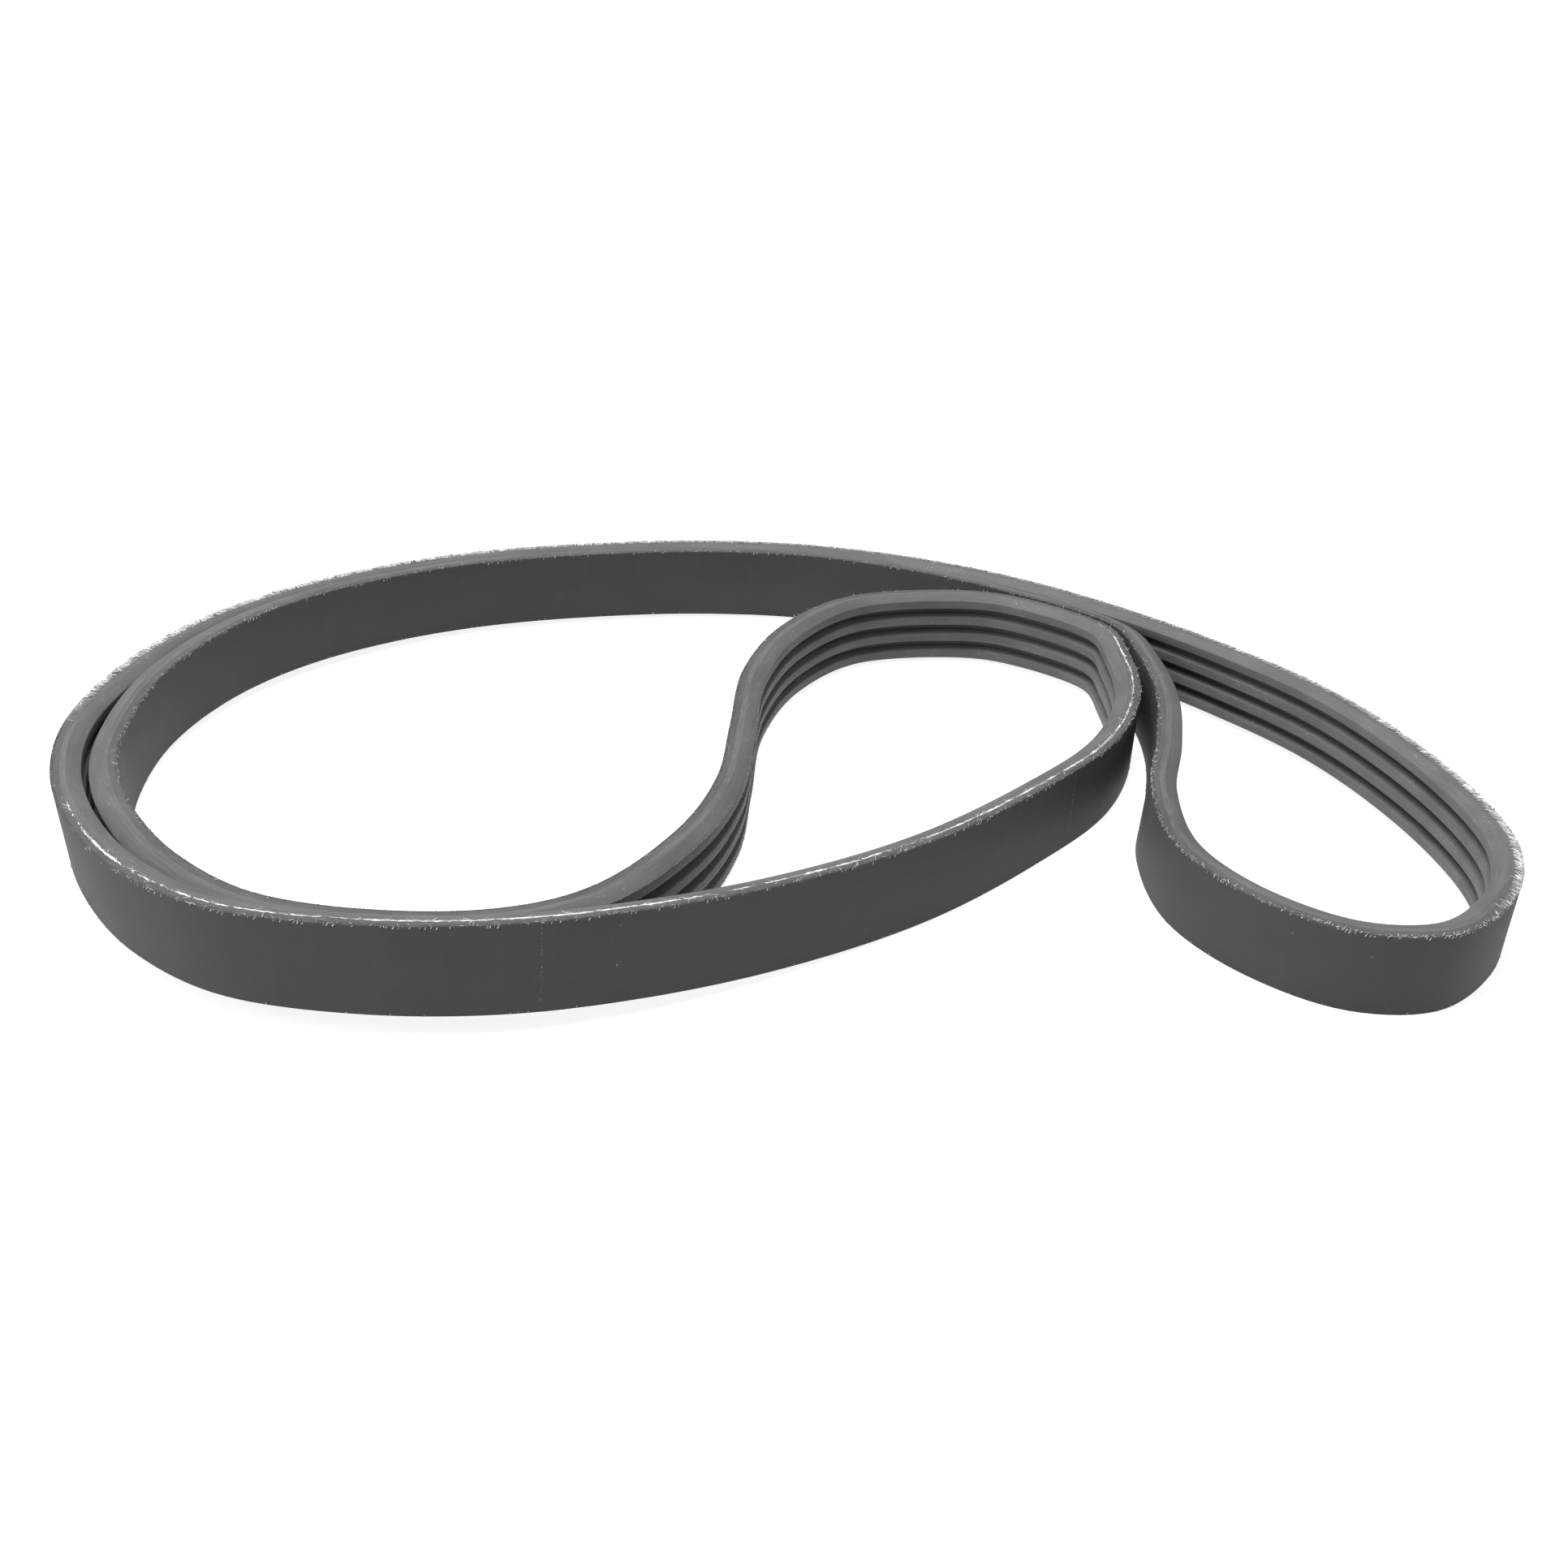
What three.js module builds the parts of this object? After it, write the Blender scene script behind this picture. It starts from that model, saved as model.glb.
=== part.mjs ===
// Four-rib V-ribbed drive belt, resting on one cut edge in a loose lay.
//
// The belt is an endless laminate. Its cross-section is drawn in two directions:
// depth runs from the smooth back towards the rib crests, height runs across the
// belt's width. Every layer is its own closed loop, swept along the same stations
// of the back line, so the layers stay parallel wherever the belt bends.
// Units are millimetres, +Z is up, and the bench is the plane z = 0.

import * as THREE from 'three';

// Driving dimensions of the belt.
const BELT_LENGTH = 1420; // round the belt, at the cord line
const RIB_COUNT = 4;
const RIB_PITCH = 3.56;
const RIB_DEPTH = 1.8;
const RIB_CREST = 1.6; // flat width on top of a rib
const RIB_ANGLE = 40; // included angle of a rib, degrees

// Thickness of each layer, from the smooth back to the ribs.
const COVER_THICKNESS = 0.4;
const BACKING_THICKNESS = 0.45;
const CORD_DIAMETER = 0.6;
const CUSHION_THICKNESS = 0.35;
const WEB_THICKNESS = 0.35; // ribbed layer between the cushion and the valleys
const CORD_SPACING = 1.24; // wanted distance between neighbouring cord turns

// Clearances.
const BOND_GAP = 0.14; // between two bonded layers
const RIB_CLEARANCE = 0.5; // between two runs whose ribs face each other
const BACK_CLEARANCE = 0.8; // between two runs that lie back to back

// How finely the sweep follows the lay.
const LONGEST_STEP = 28;
const LARGEST_TURN = THREE.MathUtils.degToRad(16);
const CURVE_SAMPLES = 2400;

// Sizes that follow from the driving dimensions.
const BELT_WIDTH = RIB_COUNT * RIB_PITCH;
const COVER_DEPTH = 0;
const BACKING_DEPTH = COVER_DEPTH + COVER_THICKNESS + BOND_GAP;
const CORD_DEPTH = BACKING_DEPTH + BACKING_THICKNESS + BOND_GAP;
const CUSHION_DEPTH = CORD_DEPTH + CORD_DIAMETER + BOND_GAP;
const RIBBED_DEPTH = CUSHION_DEPTH + CUSHION_THICKNESS + BOND_GAP;
const VALLEY_DEPTH = RIBBED_DEPTH + WEB_THICKNESS;
const BELT_THICKNESS = VALLEY_DEPTH + RIB_DEPTH;
const CORD_LINE = CORD_DEPTH + CORD_DIAMETER / 2;
const LANE = 2 * BELT_THICKNESS + RIB_CLEARANCE; // between facing runs' back lines

// The lay, as points of the back line's upper edge in travel order, ribs on the left.
// Each point is x, y, the lift of the lower cut edge above the bench, and the lean:
// how far the upper edge stands out from the lower one, away from the ribs.
const BACK_RUN = [
  [117.4, -23.5, 0, 0], [112.7, 1.7, 0, 0], [102, 28, 0, 0], [87, 48, 0, 0], [70, 65, 0, 0],
  [49, 80.5, 0, 0], [26, 90.5, 0, 0], [2, 94.3, 0, 0], [-22, 91.5, 0.1, -0.3],
  [-46, 83.5, 0.2, -0.6], [-68, 72.4, 0.3, -0.8], [-86, 58.2, 0.3, -1], [-101, 40.2, 0.3, -1],
  [-111, 20.8, 0.3, -0.8], [-116.7, -2, 0.1, -0.2], [-117.4, -25, 0, 0.8],
];
const FRONT_RUN = [
  [-113, -43.8, 0, 1.6], [-104, -61.5, 0.5, 2], [-91, -77.5, 1.6, 2], [-75, -87.8, 2.6, 1.3],
  [-56, -90.3, 3.1, 0.6], [-36, -87.3, 3, 0.2], [-16, -78.1, 2.1, 0], [4, -64.4, 0.9, 0],
  [24, -46.7, 0.1, 0], [42, -25.5, 0, 0], [57, -3, 0, 0], [64.5, 21, 0, 0], [65, 41, 0, 0],
];

// The top of the inner loop lies back to back with the inner run, so its points are
// placed from the back run: point number and how much further in than contact.
const LOOP_CONTACT = [[4, 1.3], [5, 1.3]];
const LOOP_RETURN = [
  [28, 70.2, 0, 0], [10, 62, 0, 0], [-2.5, 43, 0, 0], [-9, 18, 0, 0], [-10, -8, 0, 0],
  [-11, -30, 0, 0], [-16, -50, 0, 0], [-27, -70, 0, 0],
];

// The inner run lies in the lane beside the outer runs: point number along the back
// and front runs, extra clearance from the lane, lift and lean.
const INNER_RUN = [
  [21, 0.4, 0.1, -0.2], [20, 0.2, 0.2, -0.6], [19, 0.4, 0.4, -1.3], [18, 0.5, 0.6, -2],
  [17, 0.3, 0.7, -2], [16, 0.5, 0.6, -1.3], [15, 1, 0.6, -0.3], [14, 0.2, 1, 0.4],
  [13, 0.1, 1.4, 0.8], [12, 0.1, 1.5, 1], [11, 0.1, 1.3, 1], [10, 0.1, 1.1, 0.8],
  [9, 0.1, 0.9, 0.6], [8, 0.1, 0.7, 0.3], [7, 0.1, 0.5, 0], [6, 0.2, 0.2, 0], [5, 0.4, 0, 0],
  [4, 0.9, 0, 0],
];
const SIDE_LOBE = [
  [66.6, 42, 0, 0], [67.3, 22, 0, 0], [64.4, 0, 0.2, -0.3], [60.5, -20, 0.2, -0.6],
  [61.2, -42, 0, 0.8], [70, -57.5, 0, 1.8], [84, -66.5, 0, 1.9], [99, -64.8, 0, 1.6],
  [111, -51.5, 0, 0.8], [116.6, -37, 0, 0.2],
];

// Looks of the layers.
const BLACK_CLOTH = { color: 0x3d3e40, roughness: 0.85, metalness: 0 };
const BLACK_RUBBER = { color: 0x47484a, roughness: 0.7, metalness: 0 };
const BEDDING_RUBBER = { color: 0x525356, roughness: 0.75, metalness: 0 };
const RIB_RUBBER = { color: 0x4b4c4e, roughness: 0.8, metalness: 0 };
const WHITE_CORD = { color: 0xd8d8d4, roughness: 0.9, metalness: 0 };

// Unit vector to the left of travel at point k of a list of points.
function leftOf(points, k) {
  const after = points[(k + 1) % points.length];
  const before = points[(k + points.length - 1) % points.length];
  return new THREE.Vector3(before.y - after.y, after.x - before.x, 0).normalize();
}

// All points of the lay, with the free points scaled about the middle. A point's z is
// its lift, and lean goes with it.
function layPoints(scale) {
  const free = ([x, y, lift, lean]) => (
    { place: new THREE.Vector3(x * scale, y * scale, lift), lean }
  );
  const outer = [...BACK_RUN, ...FRONT_RUN].map(free);
  const outerPlaces = outer.map((point) => point.place);
  const beside = (k, distance, lift, lean) => {
    const place = outerPlaces[k].clone().addScaledVector(leftOf(outerPlaces, k), distance);
    return { place: place.setZ(lift), lean };
  };
  const contact = ([k, further]) => beside(k, LANE + BACK_CLEARANCE + further, 0, 0);
  const nested = ([k, clearance, lift, lean]) => beside(k, LANE + clearance, lift, lean);
  return [
    ...outer,
    ...LOOP_CONTACT.map(contact),
    ...LOOP_RETURN.map(free),
    ...INNER_RUN.map(nested),
    ...SIDE_LOBE.map(free),
  ];
}

// The back line's two edges, as closed curves with matching parameters: the lower edge
// at the lift, and the upper edge one belt width above it.
function backEdges(scale) {
  const points = layPoints(scale);
  const places = points.map((point) => point.place);
  const lower = points.map(({ place, lean }, k) => (
    place.clone().addScaledVector(leftOf(places, k), lean)
  ));
  const upper = places.map((place) => place.clone().setZ(place.z + BELT_WIDTH));
  return {
    lower: new THREE.CatmullRomCurve3(lower, true, 'centripetal'),
    upper: new THREE.CatmullRomCurve3(upper, true, 'centripetal'),
  };
}

// The edges of a belt whose cord line is BELT_LENGTH long. The lay turns once to the
// left, so a line inside the back line is shorter by a full circle of its depth.
function fittedBackEdges() {
  const wanted = BELT_LENGTH + 2 * Math.PI * CORD_LINE;
  let scale = 1;
  for (let round = 0; round < 8; round += 1) {
    const { lower } = backEdges(scale);
    lower.arcLengthDivisions = CURVE_SAMPLES;
    scale *= wanted / lower.getLength();
  }
  return backEdges(scale);
}

// Sample numbers along closed points, close together where they bend and far apart
// where they run straight.
function spreadSamples(points) {
  const at = (i) => points[(i + CURVE_SAMPLES) % CURVE_SAMPLES];
  const heading = (i) => Math.atan2(at(i + 1).y - at(i - 1).y, at(i + 1).x - at(i - 1).x);
  const effort = [0];
  for (let i = 1; i <= CURVE_SAMPLES; i += 1) {
    const turn = Math.abs(Math.sin(heading(i) - heading(i - 1)));
    const step = at(i).distanceTo(at(i - 1));
    effort.push(effort[i - 1] + step / LONGEST_STEP + turn / LARGEST_TURN);
  }
  const count = Math.ceil(effort[CURVE_SAMPLES]);
  const picked = [];
  let i = 0;
  for (let n = 0; n < count; n += 1) {
    while (effort[i] < (n / count) * effort[CURVE_SAMPLES]) i += 1;
    picked.push(i);
  }
  return picked;
}

// Stations round the belt: a foot on the back line's lower edge, and unit vectors up
// the belt's width and inward to the ribs. No corner of the lower cut edge is below
// the bench: a belt that leans towards its ribs stands on its rib side.
function beltStations() {
  const { lower, upper } = fittedBackEdges();
  const feet = lower.getPoints(CURVE_SAMPLES).slice(0, CURVE_SAMPLES);
  const heads = upper.getPoints(CURVE_SAMPLES).slice(0, CURVE_SAMPLES);
  return spreadSamples(feet).map((i) => {
    const up = heads[i].clone().sub(feet[i]).normalize();
    const inward = leftOf(feet, i);
    inward.addScaledVector(up, -inward.dot(up)).normalize();
    const foot = feet[i].clone();
    foot.z = Math.max(foot.z, -inward.z * BELT_THICKNESS, 0);
    return { foot, up, inward };
  });
}

// Two triangles between this station's edge and the next one's. Every quad is split
// from its lower corner here to its upper corner there, so facing layers stay parallel
// where the belt twists.
function quad(here, hereNext, there, thereNext, rising) {
  return rising
    ? [here, thereNext, there, here, hereNext, thereNext]
    : [here, hereNext, there, hereNext, thereNext, there];
}

// A closed ring: the section, counter-clockwise in depth and height, carried along
// the stations.
function sweepRing(section, stations) {
  const positions = [];
  for (const { foot, up, inward } of stations) {
    for (const { x: depth, y: height } of section) {
      const vertex = foot.clone().addScaledVector(inward, depth).addScaledVector(up, height);
      positions.push(...vertex.toArray());
    }
  }
  const sides = section.length;
  const faces = [];
  for (let n = 0; n < stations.length; n += 1) {
    const here = n * sides;
    const next = ((n + 1) % stations.length) * sides;
    for (let s = 0; s < sides; s += 1) {
      const t = (s + 1) % sides;
      faces.push(...quad(here + s, here + t, next + s, next + t, section[t].y > section[s].y));
    }
  }
  const geometry = new THREE.BufferGeometry();
  geometry.setAttribute('position', new THREE.Float32BufferAttribute(positions, 3));
  geometry.setIndex(faces);
  return geometry;
}

// A flat layer over the whole width.
function layerSection(depth, thickness) {
  return [
    new THREE.Vector2(depth, 0),
    new THREE.Vector2(depth + thickness, 0),
    new THREE.Vector2(depth + thickness, BELT_WIDTH),
    new THREE.Vector2(depth, BELT_WIDTH),
  ];
}

// The ribbed layer. It is cut through the middle of a valley at both edges.
function ribbedSection() {
  const flank = RIB_DEPTH * Math.tan(THREE.MathUtils.degToRad(RIB_ANGLE / 2));
  const halfCrest = RIB_CREST / 2;
  const halfFoot = halfCrest + flank;
  const section = [new THREE.Vector2(RIBBED_DEPTH, 0), new THREE.Vector2(VALLEY_DEPTH, 0)];
  for (let rib = 0; rib < RIB_COUNT; rib += 1) {
    const middle = (rib + 0.5) * RIB_PITCH;
    section.push(new THREE.Vector2(VALLEY_DEPTH, middle - halfFoot));
    section.push(new THREE.Vector2(BELT_THICKNESS, middle - halfCrest));
    section.push(new THREE.Vector2(BELT_THICKNESS, middle + halfCrest));
    section.push(new THREE.Vector2(VALLEY_DEPTH, middle + halfFoot));
  }
  section.push(new THREE.Vector2(VALLEY_DEPTH, BELT_WIDTH));
  section.push(new THREE.Vector2(RIBBED_DEPTH, BELT_WIDTH));
  return section;
}

// One turn of the tension cord, as a four-sided strand. An inner turn stands on its
// corner; the outermost turns are squared off where the belt was cut to width.
function cordSection(height, cut) {
  const radius = CORD_DIAMETER / 2;
  const corners = cut ? [[-1, -1], [1, -1], [1, 1], [-1, 1]] : [[0, -1], [1, 0], [0, 1], [-1, 0]];
  return corners.map(([depth, up]) => (
    new THREE.Vector2(CORD_LINE + depth * radius, height + up * radius)
  ));
}

function addRing(group, name, section, stations, look) {
  const mesh = new THREE.Mesh(sweepRing(section, stations), new THREE.MeshStandardMaterial(look));
  mesh.name = name;
  group.add(mesh);
}

// Tension cord turns, side by side from the lower cut edge to the upper one.
function addCordTurns(group, stations) {
  const span = BELT_WIDTH - CORD_DIAMETER;
  const gaps = Math.round(span / CORD_SPACING);
  for (let turn = 0; turn <= gaps; turn += 1) {
    const height = CORD_DIAMETER / 2 + (span * turn) / gaps;
    const cut = turn === 0 || turn === gaps;
    const name = `cord_turn_${String(turn + 1).padStart(2, '0')}`;
    addRing(group, name, cordSection(height, cut), stations, WHITE_CORD);
  }
}

function buildBelt() {
  const belt = new THREE.Group();
  const stations = beltStations();
  addRing(belt, 'back_cover', layerSection(COVER_DEPTH, COVER_THICKNESS), stations, BLACK_CLOTH);
  addRing(belt, 'backing_rubber', layerSection(BACKING_DEPTH, BACKING_THICKNESS), stations, BLACK_RUBBER);
  addCordTurns(belt, stations);
  addRing(belt, 'cushion_rubber', layerSection(CUSHION_DEPTH, CUSHION_THICKNESS), stations, BEDDING_RUBBER);
  addRing(belt, 'ribbed_rubber', ribbedSection(), stations, RIB_RUBBER);

  // The origin is the middle of the belt's outline, on the bench.
  const outline = new THREE.Box3().setFromObject(belt);
  const middle = outline.getCenter(new THREE.Vector3());
  belt.position.set(-middle.x, -middle.y, -outline.min.z);
  return belt;
}

const group = buildBelt();

export default group;
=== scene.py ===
"""Looks of a four-rib V-ribbed drive belt that rests on one cut edge in a loose lay.

Each layer of the belt is modelled straight, as it lies on the slitting bench: X is the
distance along the belt, Y the depth from the smooth back to the rib crests, and Z the
height across its width. The finished layer is then laid down along the belt's route.
All sizes are in metres.
"""

import math
import random

import bmesh
import bpy
import numpy as np
from mathutils import Euler, Matrix, Vector, noise


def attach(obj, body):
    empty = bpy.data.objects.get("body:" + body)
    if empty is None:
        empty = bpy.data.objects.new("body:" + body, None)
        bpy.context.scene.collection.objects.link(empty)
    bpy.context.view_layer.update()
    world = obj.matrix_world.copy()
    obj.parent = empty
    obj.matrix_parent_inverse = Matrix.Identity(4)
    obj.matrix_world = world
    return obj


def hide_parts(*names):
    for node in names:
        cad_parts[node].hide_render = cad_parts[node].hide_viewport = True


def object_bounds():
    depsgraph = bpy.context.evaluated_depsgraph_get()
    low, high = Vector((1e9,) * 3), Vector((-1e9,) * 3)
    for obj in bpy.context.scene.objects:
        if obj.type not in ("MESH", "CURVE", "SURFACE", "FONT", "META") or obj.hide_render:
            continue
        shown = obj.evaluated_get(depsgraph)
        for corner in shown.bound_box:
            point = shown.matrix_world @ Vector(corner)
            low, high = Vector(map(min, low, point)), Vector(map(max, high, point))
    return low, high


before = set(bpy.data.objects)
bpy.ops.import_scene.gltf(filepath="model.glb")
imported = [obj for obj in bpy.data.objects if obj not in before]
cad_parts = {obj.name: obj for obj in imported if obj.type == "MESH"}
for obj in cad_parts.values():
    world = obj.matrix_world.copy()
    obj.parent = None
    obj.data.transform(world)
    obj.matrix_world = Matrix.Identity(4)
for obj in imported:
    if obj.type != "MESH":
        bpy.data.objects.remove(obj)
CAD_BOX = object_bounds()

bl_info = {
    "name": "V-ribbed belt",
    "version": (1, 0, 0),
    "blender": (4, 5, 0),
    "location": "3D View > Sidebar > Belt",
    "description": "Builds the layers, cords and frayed threads of a V-ribbed drive belt",
    "category": "Object",
}

MM = 0.001
BODY = "root"

# ---------------------------------------------------------------------------
# The lay, in millimetres, as in the frame's source: points of the back's upper
# edge in travel order, ribs on the left. Each is x, y, lift of the lower edge,
# and how far the upper edge leans out over the lower one.
# ---------------------------------------------------------------------------
BACK_RUN = [
    (117.4, -23.5, 0, 0), (112.7, 1.7, 0, 0), (102, 28, 0, 0), (87, 48, 0, 0), (70, 65, 0, 0),
    (49, 80.5, 0, 0), (26, 90.5, 0, 0), (2, 94.3, 0, 0), (-22, 91.5, 0.1, -0.3),
    (-46, 83.5, 0.2, -0.6), (-68, 72.4, 0.3, -0.8), (-86, 58.2, 0.3, -1),
    (-101, 40.2, 0.3, -1), (-111, 20.8, 0.3, -0.8), (-116.7, -2, 0.1, -0.2),
    (-117.4, -25, 0, 0.8),
]
FRONT_RUN = [
    (-113, -43.8, 0, 1.6), (-104, -61.5, 0.5, 2), (-91, -77.5, 1.6, 2), (-75, -87.8, 2.6, 1.3),
    (-56, -90.3, 3.1, 0.6), (-36, -87.3, 3, 0.2), (-16, -78.1, 2.1, 0), (4, -64.4, 0.9, 0),
    (24, -46.7, 0.1, 0), (42, -25.5, 0, 0), (57, -3, 0, 0), (64.5, 21, 0, 0), (65, 41, 0, 0),
]
LOOP_RETURN = [
    (28, 70.2, 0, 0), (10, 62, 0, 0), (-2.5, 43, 0, 0), (-9, 18, 0, 0), (-10, -8, 0, 0),
    (-11, -30, 0, 0), (-16, -50, 0, 0), (-27, -70, 0, 0),
]
SIDE_LOBE = [
    (66.6, 42, 0, 0), (67.3, 22, 0, 0), (64.4, 0, 0.2, -0.3), (60.5, -20, 0.2, -0.6),
    (61.2, -42, 0, 0.8), (70, -57.5, 0, 1.8), (84, -66.5, 0, 1.9), (99, -64.8, 0, 1.6),
    (111, -51.5, 0, 0.8), (116.6, -37, 0, 0.2),
]
# The top of the loop lies back to back with the inner run: number of the outer point
# and how much further in than contact.
LOOP_CONTACT = [(4, 1.3), (5, 1.3)]
# The inner run nests in the outer one: outer point, extra clearance, lift and lean.
INNER_RUN = [
    (21, 0.4, 0.1, -0.2), (20, 0.2, 0.2, -0.6), (19, 0.4, 0.4, -1.3), (18, 0.5, 0.6, -2),
    (17, 0.3, 0.7, -2), (16, 0.5, 0.6, -1.3), (15, 1, 0.6, -0.3), (14, 0.2, 1, 0.4),
    (13, 0.1, 1.4, 0.8), (12, 0.1, 1.5, 1), (11, 0.1, 1.3, 1), (10, 0.1, 1.1, 0.8),
    (9, 0.1, 0.9, 0.6), (8, 0.1, 0.7, 0.3), (7, 0.1, 0.5, 0), (6, 0.2, 0.2, 0), (5, 0.4, 0, 0),
    (4, 0.9, 0, 0),
]
RIB_CLEARANCE = 0.5 * MM
BACK_CLEARANCE = 0.8 * MM
CURVE_SAMPLES = 4800

# Where along the route the threads show, as lay point number and strength. The cord
# climbs slowly across the width, so the knife lays it bare on one stretch only.
CORD_BARE = [
    (0, -0.6), (16.3, -0.6), (16.7, 0.15), (17.3, 0.3), (24, 0.28), (28.4, 0.25), (28.8, -0.1),
    (29.3, -0.6), (67, -0.6),
]
CORD_FUZZ = [
    (0, 0), (16.4, 0), (16.8, 0.5), (18.2, 1), (28.4, 0.9), (29.4, 0.1), (30, 0), (67, 0),
]
COVER_TICKS = [
    (0, 0.9), (2, 0.5), (5, 0.3), (8, 0.3), (11, 0.5), (13.5, 0.8), (14.6, 0.3), (15.4, 0),
    (17.4, 0.05), (18.2, 0.6), (24, 0.55), (28, 0.5), (30, 0.35), (31, 0.1), (38, 0.05),
    (43, 0.2), (44.5, 0.9), (47, 0.75), (48.5, 0.3), (52, 0.15), (56, 0.4), (57, 0.8),
    (61, 0.85), (64, 1), (67, 0.9),
]
COVER_FRINGE = [
    (0, 0.8), (2, 0.6), (4, 0.35), (6, 0.3), (8, 0.7), (11, 1), (13.8, 1), (14.8, 0.1),
    (17.4, 0.02), (18.4, 0.12), (28, 0.15), (30, 0.05), (44, 0.15), (48, 0.1), (56, 0.1),
    (62, 0.3), (65, 0.8), (67, 0.8),
]
# Long thread ends pulled over the cut edge, and fibres torn out along the rib crests.
EDGE_THREADS = [
    (0, 0.9), (2, 0.6), (4, 0.4), (7, 0.55), (10, 0.95), (13.6, 1), (14.6, 0.4), (15.2, 0),
    (64.5, 0), (65.5, 0.5), (67, 0.9),
]
RIB_FIBRES = [(0, 0), (33.5, 0), (35, 0.8), (38.5, 0.9), (40.5, 0.3), (41, 0), (67, 0)]
# Rows of knots where two lengths of the woven cover join, as lay point numbers.
COVER_JOINS = (21.25, 25.4, 27.3, 27.45, 57.9)

# How far the slitting knife wandered in the cover and in the rubber.
COVER_WANDER = 0.03 * MM
RUBBER_WANDER = 0.04 * MM
# Radii of the section's corners.
BACK_RADIUS = 0.16 * MM
BOND_RADIUS = 0.02 * MM
CREST_RADIUS = 0.22 * MM
VALLEY_RADIUS = 0.12 * MM
SHOULDER_RADIUS = 0.08 * MM
SHOULDER = 0.12 * MM  # cut edge of the ribbed layer, before the edge rib's flank starts

# The twisted cord: one full twist, and sides and lobe depth of a cut and of a whole turn.
TWIST_LENGTH = 5 * MM
CUT_TURN = (12, 0.12)
WHOLE_TURN = (8, 0.04)
CUT_TURN_STEP = 0.6 * MM

# Loose threads, in millimetres: shortest and longest, thinnest and thickest.
CORD_FILAMENT = (0.35, 1.3, 0.05, 0.12)
FRINGE_FIBRE = (0.25, 0.65, 0.05, 0.11)
EDGE_THREAD = (0.5, 1.5, 0.12, 0.2)
CREST_FIBRE = (0.12, 0.3, 0.07, 0.13)

TWILL_ANGLE = math.radians(52)
TWILL_SCALE = 260

# The bench, the lights (name, place, size, power) and the camera.
BENCH_RADIUS = 6
BENCH_GLOW = 0.85
WORLD_LIGHT = 0.45
SOFTBOXES = (
    ("overhead_softbox", (-0.25, 0.1, 1.1), 0.9, 22),
    ("left_softbox", (-0.9, -0.35, 0.4), 0.5, 3.5),
)
CAMERA_DISTANCE = 0.3424
CAMERA_ELEVATION = math.radians(25)
CAMERA_ROLL = math.radians(-4.11)
CAMERA_LENS = 44.11
SENSOR_WIDTH = 36


class BeltSizes(bpy.types.PropertyGroup):
    """Sizes of the belt"""

    length: bpy.props.FloatProperty(
        name="Length", description="Round the belt, at the cord line",
        default=1420 * MM, min=0.5, unit="LENGTH",
    )
    rib_count: bpy.props.IntProperty(
        name="Ribs", description="Number of ribs across the belt", default=4, min=1,
    )
    rib_pitch: bpy.props.FloatProperty(
        name="Rib pitch", description="Distance between two ribs",
        default=3.56 * MM, unit="LENGTH",
    )
    rib_depth: bpy.props.FloatProperty(
        name="Rib depth", description="From a rib's crest to the valley beside it",
        default=1.8 * MM, unit="LENGTH",
    )
    rib_crest: bpy.props.FloatProperty(
        name="Rib crest", description="Flat width on top of a rib",
        default=1.6 * MM, unit="LENGTH",
    )
    rib_angle: bpy.props.FloatProperty(
        name="Rib angle", description="Angle between a rib's two flanks",
        default=math.radians(40), subtype="ANGLE",
    )
    cover: bpy.props.FloatProperty(
        name="Cover", description="Thickness of the woven back cover with its bond",
        default=0.47 * MM, unit="LENGTH",
    )
    backing: bpy.props.FloatProperty(
        name="Backing", description="Rubber between the cover and the cord line",
        default=0.96 * MM, unit="LENGTH",
    )
    cushion: bpy.props.FloatProperty(
        name="Cushion", description="Rubber between the cord line and the ribbed layer",
        default=0.86 * MM, unit="LENGTH",
    )
    web: bpy.props.FloatProperty(
        name="Web", description="Ribbed layer under the valleys",
        default=0.42 * MM, unit="LENGTH",
    )
    cord: bpy.props.FloatProperty(
        name="Cord", description="Diameter of the tension cord",
        default=0.6 * MM, unit="LENGTH",
    )
    cord_turns: bpy.props.IntProperty(
        name="Cord turns", description="Turns of cord side by side", default=12, min=2,
    )
    step: bpy.props.FloatProperty(
        name="Step", description="Distance between two rings of the mesh along the belt",
        default=2 * MM, unit="LENGTH",
    )


class BeltColours(bpy.types.PropertyGroup):
    """Colours of the belt's materials"""

    cover: bpy.props.FloatVectorProperty(
        name="Cover", description="Rubbered black cloth of the smooth back",
        subtype="COLOR", default=(0.043, 0.043, 0.0435),
    )
    backing: bpy.props.FloatVectorProperty(
        name="Backing", description="Rubber under the cover, where it was cut",
        subtype="COLOR", default=(0.064, 0.064, 0.0645),
    )
    cushion: bpy.props.FloatVectorProperty(
        name="Cushion", description="Bedding rubber of the cords, where it was cut",
        subtype="COLOR", default=(0.086, 0.086, 0.0865),
    )
    ribs: bpy.props.FloatVectorProperty(
        name="Ribs", description="Ground rubber of the ribs",
        subtype="COLOR", default=(0.086, 0.086, 0.0865),
    )
    cord: bpy.props.FloatVectorProperty(
        name="Cord", description="White polyester of the cords and frayed threads",
        subtype="COLOR", default=(0.66, 0.66, 0.65),
    )
    floor: bpy.props.FloatVectorProperty(
        name="Floor", description="Bench under the belt",
        subtype="COLOR", default=(0.35, 0.35, 0.35),
    )


# ---------------------------------------------------------------------------
# The route
# ---------------------------------------------------------------------------
def unit(vectors):
    """The same vectors, each one long."""
    return vectors / np.linalg.norm(vectors, axis=1, keepdims=True)


def left_of(points):
    """Unit vectors to the left of travel at each point of a closed line."""
    along = np.roll(points, -1, axis=0) - np.roll(points, 1, axis=0)
    return unit(np.stack([-along[:, 1], along[:, 0], np.zeros(len(points))], axis=1))


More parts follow.
